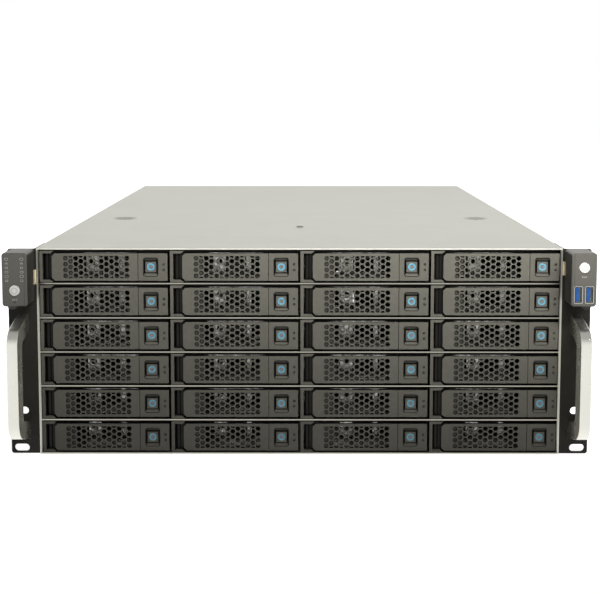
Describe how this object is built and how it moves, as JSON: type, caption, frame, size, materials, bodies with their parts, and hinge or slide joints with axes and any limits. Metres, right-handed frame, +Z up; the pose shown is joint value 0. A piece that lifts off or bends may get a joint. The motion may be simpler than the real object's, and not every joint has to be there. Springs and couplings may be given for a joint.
{
  "type": "rackmount server case",
  "caption": "Rackmount server case with a front grid of hot-swap drive trays, vented hinged levers, bow handles, side control housings, a lift-off rear cover, fans and power modules.",
  "frame": {"origin": "on the underside, midway across, in the plane where the ears meet the rack's rails", "axes": "+X to the right seen from the front, +Y to the rear, +Z up"},
  "size_m": [0.4826, 0.755, 0.1754],
  "materials": {
    "shell_steel": "satin",
    "cage_steel": "satin",
    "ear_paint": "satin",
    "handle_alloy": "satin",
    "housing_plastic": "satin",
    "button_white": "gloss",
    "socket_metal": "polished",
    "tray_plastic": "satin",
    "board_green": "satin",
    "connector_black": "matte",
    "fan_black": "satin",
    "psu_case": "satin",
    "post_brass": "satin",
    "screw_steel": "polished"
  },
  "bodies": {
    "chassis": {"chassis_base": "shell_steel", "rear_panel": "shell_steel", "front_cover": "shell_steel", "cage_shelves": "cage_steel", "cage_walls": "cage_steel", "backplanes": "board_green", "backplane_connectors": "connector_black", "fan_wall": "cage_steel", "fan_frames": "fan_black", "right_ear": "ear_paint", "left_ear": "ear_paint", "rack_handles": "handle_alloy", "left_control_housing": "housing_plastic", "right_control_housing": "housing_plastic", "usb_sockets": "socket_metal", "psu_cage": "cage_steel", "power_board": "board_green", "slot_covers": "cage_steel", "standoffs": "post_brass", "fasteners": "screw_steel"},
    "rear_cover": {"rear_cover": "shell_steel"},
    "power_button": {"power_button": "button_white"},
    "ident_button": {"ident_button": "button_white"},
    "psu_lower": {"psu_lower": "psu_case"},
    "psu_upper": {"psu_upper": "psu_case"},
    "fan_rotor_1": {"fan_rotor_1": "fan_black"},
    "fan_rotor_2": {"fan_rotor_2": "fan_black"},
    "fan_rotor_3": {"fan_rotor_3": "fan_black"},
    "tray_r1c1": {"tray_r1c1": "tray_plastic"},
    "lever_r1c1": {"lever_r1c1": "tray_plastic"},
    "tray_button_r1c1": {"tray_button_r1c1": "tray_plastic"},
    "tray_r1c2": {"tray_r1c2": "tray_plastic"},
    "lever_r1c2": {"lever_r1c2": "tray_plastic"},
    "tray_button_r1c2": {"tray_button_r1c2": "tray_plastic"},
    "tray_r1c3": {"tray_r1c3": "tray_plastic"},
    "lever_r1c3": {"lever_r1c3": "tray_plastic"},
    "tray_button_r1c3": {"tray_button_r1c3": "tray_plastic"},
    "tray_r1c4": {"tray_r1c4": "tray_plastic"},
    "lever_r1c4": {"lever_r1c4": "tray_plastic"},
    "tray_button_r1c4": {"tray_button_r1c4": "tray_plastic"},
    "tray_r2c1": {"tray_r2c1": "tray_plastic"},
    "tray_r2c2": {"tray_r2c2": "tray_plastic"},
    "tray_r2c3": {"tray_r2c3": "tray_plastic"},
    "tray_r2c4": {"tray_r2c4": "tray_plastic"},
    "tray_r3c1": {"tray_r3c1": "tray_plastic"},
    "tray_r3c2": {"tray_r3c2": "tray_plastic"},
    "tray_r3c3": {"tray_r3c3": "tray_plastic"},
    "tray_r3c4": {"tray_r3c4": "tray_plastic"},
    "tray_r4c1": {"tray_r4c1": "tray_plastic"},
    "tray_r4c2": {"tray_r4c2": "tray_plastic"},
    "tray_r4c3": {"tray_r4c3": "tray_plastic"},
    "tray_r4c4": {"tray_r4c4": "tray_plastic"},
    "tray_r5c1": {"tray_r5c1": "tray_plastic"},
    "tray_r5c2": {"tray_r5c2": "tray_plastic"},
    "tray_r5c3": {"tray_r5c3": "tray_plastic"},
    "tray_r5c4": {"tray_r5c4": "tray_plastic"},
    "tray_r6c1": {"tray_r6c1": "tray_plastic"},
    "tray_r6c2": {"tray_r6c2": "tray_plastic"},
    "tray_r6c3": {"tray_r6c3": "tray_plastic"},
    "tray_r6c4": {"tray_r6c4": "tray_plastic"}
  },
  "joints": [
    {"name": "tray_r1c1_slide", "type": "slide", "parent": "chassis", "child": "tray_r1c1", "axis": [0, -1, 0], "range_m": [0, 0.2]},
    {"name": "lever_r1c1_hinge", "type": "hinge", "parent": "tray_r1c1", "child": "lever_r1c1", "pos_m": [-0.2094, 0.003, 0.15852], "axis": [0, 0, -1], "range_deg": [0, 60]},
    {"name": "tray_button_r1c1_press", "type": "slide", "parent": "tray_r1c1", "child": "tray_button_r1c1", "axis": [0, 1, 0], "range_m": [0, 0.002], "stiffness_N_per_m": 400},
    {"name": "tray_r1c2_slide", "type": "slide", "parent": "chassis", "child": "tray_r1c2", "axis": [0, -1, 0], "range_m": [0, 0.2]},
    {"name": "lever_r1c2_hinge", "type": "hinge", "parent": "tray_r1c2", "child": "lever_r1c2", "pos_m": [-0.1015, 0.003, 0.15852], "axis": [0, 0, -1], "range_deg": [0, 60]},
    {"name": "tray_button_r1c2_press", "type": "slide", "parent": "tray_r1c2", "child": "tray_button_r1c2", "axis": [0, 1, 0], "range_m": [0, 0.002], "stiffness_N_per_m": 400},
    {"name": "tray_r1c3_slide", "type": "slide", "parent": "chassis", "child": "tray_r1c3", "axis": [0, -1, 0], "range_m": [0, 0.2]},
    {"name": "lever_r1c3_hinge", "type": "hinge", "parent": "tray_r1c3", "child": "lever_r1c3", "pos_m": [0.0064, 0.003, 0.15852], "axis": [0, 0, -1], "range_deg": [0, 60]},
    {"name": "tray_button_r1c3_press", "type": "slide", "parent": "tray_r1c3", "child": "tray_button_r1c3", "axis": [0, 1, 0], "range_m": [0, 0.002], "stiffness_N_per_m": 400},
    {"name": "tray_r1c4_slide", "type": "slide", "parent": "chassis", "child": "tray_r1c4", "axis": [0, -1, 0], "range_m": [0, 0.2]},
    {"name": "lever_r1c4_hinge", "type": "hinge", "parent": "tray_r1c4", "child": "lever_r1c4", "pos_m": [0.1143, 0.003, 0.15852], "axis": [0, 0, -1], "range_deg": [0, 60]},
    {"name": "tray_button_r1c4_press", "type": "slide", "parent": "tray_r1c4", "child": "tray_button_r1c4", "axis": [0, 1, 0], "range_m": [0, 0.002], "stiffness_N_per_m": 400},
    {"name": "tray_r2c1_slide", "type": "slide", "parent": "chassis", "child": "tray_r2c1", "axis": [0, -1, 0], "range_m": [0, 0.2]},
    {"name": "tray_r2c2_slide", "type": "slide", "parent": "chassis", "child": "tray_r2c2", "axis": [0, -1, 0], "range_m": [0, 0.2]},
    {"name": "tray_r2c3_slide", "type": "slide", "parent": "chassis", "child": "tray_r2c3", "axis": [0, -1, 0], "range_m": [0, 0.2]},
    {"name": "tray_r2c4_slide", "type": "slide", "parent": "chassis", "child": "tray_r2c4", "axis": [0, -1, 0], "range_m": [0, 0.2]},
    {"name": "tray_r3c1_slide", "type": "slide", "parent": "chassis", "child": "tray_r3c1", "axis": [0, -1, 0], "range_m": [0, 0.2]},
    {"name": "tray_r3c2_slide", "type": "slide", "parent": "chassis", "child": "tray_r3c2", "axis": [0, -1, 0], "range_m": [0, 0.2]},
    {"name": "tray_r3c3_slide", "type": "slide", "parent": "chassis", "child": "tray_r3c3", "axis": [0, -1, 0], "range_m": [0, 0.2]},
    {"name": "tray_r3c4_slide", "type": "slide", "parent": "chassis", "child": "tray_r3c4", "axis": [0, -1, 0], "range_m": [0, 0.2]},
    {"name": "tray_r4c1_slide", "type": "slide", "parent": "chassis", "child": "tray_r4c1", "axis": [0, -1, 0], "range_m": [0, 0.2]},
    {"name": "tray_r4c2_slide", "type": "slide", "parent": "chassis", "child": "tray_r4c2", "axis": [0, -1, 0], "range_m": [0, 0.2]},
    {"name": "tray_r4c3_slide", "type": "slide", "parent": "chassis", "child": "tray_r4c3", "axis": [0, -1, 0], "range_m": [0, 0.2]},
    {"name": "tray_r4c4_slide", "type": "slide", "parent": "chassis", "child": "tray_r4c4", "axis": [0, -1, 0], "range_m": [0, 0.2]},
    {"name": "tray_r5c1_slide", "type": "slide", "parent": "chassis", "child": "tray_r5c1", "axis": [0, -1, 0], "range_m": [0, 0.2]},
    {"name": "tray_r5c2_slide", "type": "slide", "parent": "chassis", "child": "tray_r5c2", "axis": [0, -1, 0], "range_m": [0, 0.2]},
    {"name": "tray_r5c3_slide", "type": "slide", "parent": "chassis", "child": "tray_r5c3", "axis": [0, -1, 0], "range_m": [0, 0.2]},
    {"name": "tray_r5c4_slide", "type": "slide", "parent": "chassis", "child": "tray_r5c4", "axis": [0, -1, 0], "range_m": [0, 0.2]},
    {"name": "tray_r6c1_slide", "type": "slide", "parent": "chassis", "child": "tray_r6c1", "axis": [0, -1, 0], "range_m": [0, 0.2]},
    {"name": "tray_r6c2_slide", "type": "slide", "parent": "chassis", "child": "tray_r6c2", "axis": [0, -1, 0], "range_m": [0, 0.2]},
    {"name": "tray_r6c3_slide", "type": "slide", "parent": "chassis", "child": "tray_r6c3", "axis": [0, -1, 0], "range_m": [0, 0.2]},
    {"name": "tray_r6c4_slide", "type": "slide", "parent": "chassis", "child": "tray_r6c4", "axis": [0, -1, 0], "range_m": [0, 0.2]},
    {"name": "power_button_press", "type": "slide", "parent": "chassis", "child": "power_button", "axis": [0, 1, 0], "range_m": [0, 0.0012], "stiffness_N_per_m": 500},
    {"name": "ident_button_press", "type": "slide", "parent": "chassis", "child": "ident_button", "axis": [0, 1, 0], "range_m": [0, 0.0012], "stiffness_N_per_m": 500},
    {"name": "fan_rotor_1_spin", "type": "hinge", "parent": "chassis", "child": "fan_rotor_1", "pos_m": [-0.13805, 0.2602, 0.0792], "axis": [0, 1, 0], "continuous": true},
    {"name": "fan_rotor_2_spin", "type": "hinge", "parent": "chassis", "child": "fan_rotor_2", "pos_m": [0, 0.2602, 0.0792], "axis": [0, 1, 0], "continuous": true},
    {"name": "fan_rotor_3_spin", "type": "hinge", "parent": "chassis", "child": "fan_rotor_3", "pos_m": [0.13805, 0.2602, 0.0792], "axis": [0, 1, 0], "continuous": true},
    {"name": "psu_lower_slide", "type": "slide", "parent": "chassis", "child": "psu_lower", "axis": [0, 1, 0], "range_m": [0, 0.195]},
    {"name": "psu_upper_slide", "type": "slide", "parent": "chassis", "child": "psu_upper", "axis": [0, 1, 0], "range_m": [0, 0.195]},
    {"name": "rear_cover_lift", "type": "slide", "parent": "chassis", "child": "rear_cover", "axis": [0, 0, 1], "range_m": [0, 0.15]}
  ]
}
